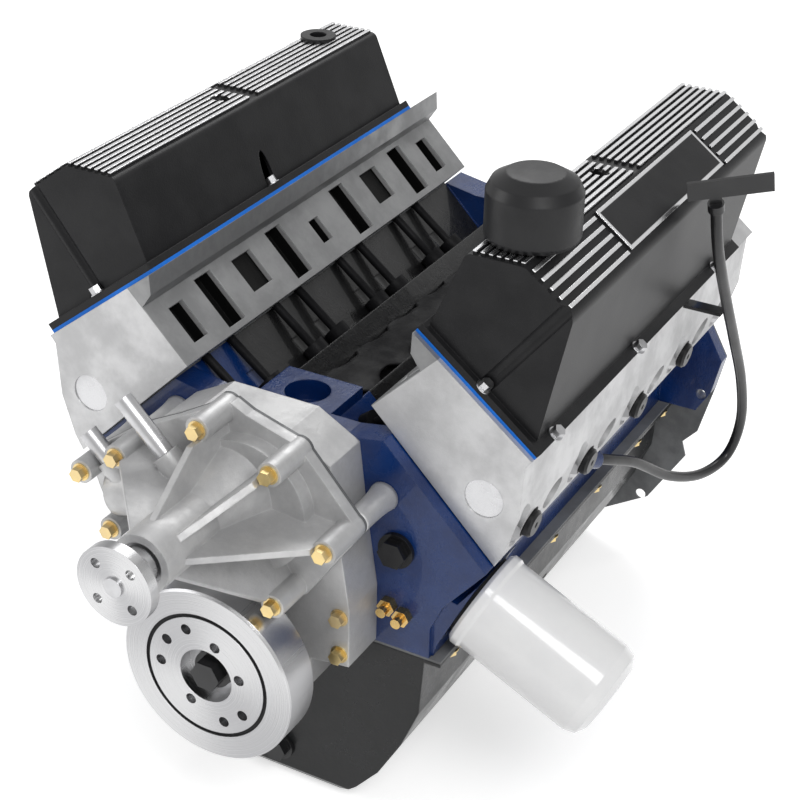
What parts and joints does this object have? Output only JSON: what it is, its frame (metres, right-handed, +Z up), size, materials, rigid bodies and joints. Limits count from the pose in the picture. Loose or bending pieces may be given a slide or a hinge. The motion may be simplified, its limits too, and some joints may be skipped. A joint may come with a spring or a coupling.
{
  "type": "complete V8 engine",
  "caption": "Complete pushrod V8 long block standing on its oil pan, with twin bare valve covers, front water pump, crank damper, spin-on oil filter and dipstick.",
  "frame": {"origin": "centre of the crankshaft's rear flange face", "axes": "+Y along the crankshaft towards the rear, +X to the engine's left, +Z up"},
  "size_m": [0.5471, 0.754, 0.6053],
  "materials": {
    "block_paint": "gloss paint",
    "cast_aluminium": "bare casting",
    "cover_paint": "wrinkle paint with bare rib tops",
    "gasket": "moulded",
    "gasket_sheet": "composite sheet",
    "black_paint": "satin paint",
    "steel": "machined",
    "iron": "machined",
    "gold_steel": "zinc plated",
    "rubber": "plain",
    "plastic": "satin",
    "brass": "plain",
    "filter_paint": "gloss paint",
    "bearing_metal": "plain"
  },
  "bodies": {
    "long_block": {"block_fittings": "brass", "block_plate": "steel", "cam_bearings": "bearing_metal", "connecting_rods": "steel", "core_plugs": "steel", "cover_grommet": "rubber", "crankshaft_seals": "rubber", "dipstick_tube": "steel", "drain_plug": "black_paint", "engine_block": "block_paint", "front_cover_bolts": "gold_steel", "head_bolts": "steel", "head_gaskets": "gasket_sheet", "heater_tubes": "steel", "left_cylinder_head": "cast_aluminium", "left_valve_cover": "cover_paint", "lifters": "steel", "main_bearing_caps": "iron", "main_bearing_shells": "bearing_metal", "main_cap_bolts": "steel", "oil_filter": "filter_paint", "oil_filter_seal": "rubber", "oil_pan": "black_paint", "oil_pan_bolts": "black_paint", "oil_pan_gasket": "gasket_sheet", "oil_pump": "cast_aluminium", "pistons": "cast_aluminium", "pump_bearing": "steel", "pushrods": "steel", "rear_seal_housing": "cast_aluminium", "right_cylinder_head": "cast_aluminium", "right_valve_cover": "cover_paint", "rocker_arms": "steel", "rocker_studs": "steel", "spark_plugs": "plastic", "spring_retainers": "steel", "timing_chain": "steel", "timing_cover": "cast_aluminium", "tube_bracket": "black_paint", "valve_cover_bolts": "steel", "valve_cover_gaskets": "gasket", "valve_springs": "steel", "valves": "steel", "water_pump_backplate": "steel", "water_pump_housing": "cast_aluminium", "wrist_pins": "steel"},
    "crank": {"crankshaft": "iron", "crank_sprocket": "steel", "damper_hub": "steel", "damper_rubber": "rubber", "damper_ring": "steel", "crank_bolt": "steel"},
    "cam": {"camshaft": "iron", "cam_sprocket": "steel"},
    "pump_rotor": {"pump_shaft": "steel", "pump_impeller": "steel", "pump_hub": "steel"},
    "filler_cap": {"breather_cap": "plastic"},
    "dipstick": {"dipstick": "steel"}
  },
  "joints": [
    {"name": "crank_spin", "type": "hinge", "parent": "long_block", "child": "crank", "pos_m": [0, 0, 0], "axis": [0, 1, 0], "continuous": true, "deforming": ["pistons", "wrist_pins", "connecting_rods"]},
    {"name": "cam_spin", "type": "hinge", "parent": "long_block", "child": "cam", "pos_m": [0, 0, 0.124], "axis": [0, 1, 0], "continuous": true},
    {"name": "pump_spin", "type": "hinge", "parent": "long_block", "child": "pump_rotor", "pos_m": [0, 0, 0.156], "axis": [0, 1, 0], "continuous": true},
    {"name": "cap_pull", "type": "slide", "parent": "long_block", "child": "filler_cap", "axis": [0, 0, 1], "range_m": [0, 0.04]},
    {"name": "dipstick_pull", "type": "slide", "parent": "long_block", "child": "dipstick", "axis": [0, -0.3676, 0.93], "range_m": [0, 0.05]}
  ],
  "couplings": [
    {"joint": "cam_spin", "follows": "crank_spin", "ratio": 0.5}
  ]
}
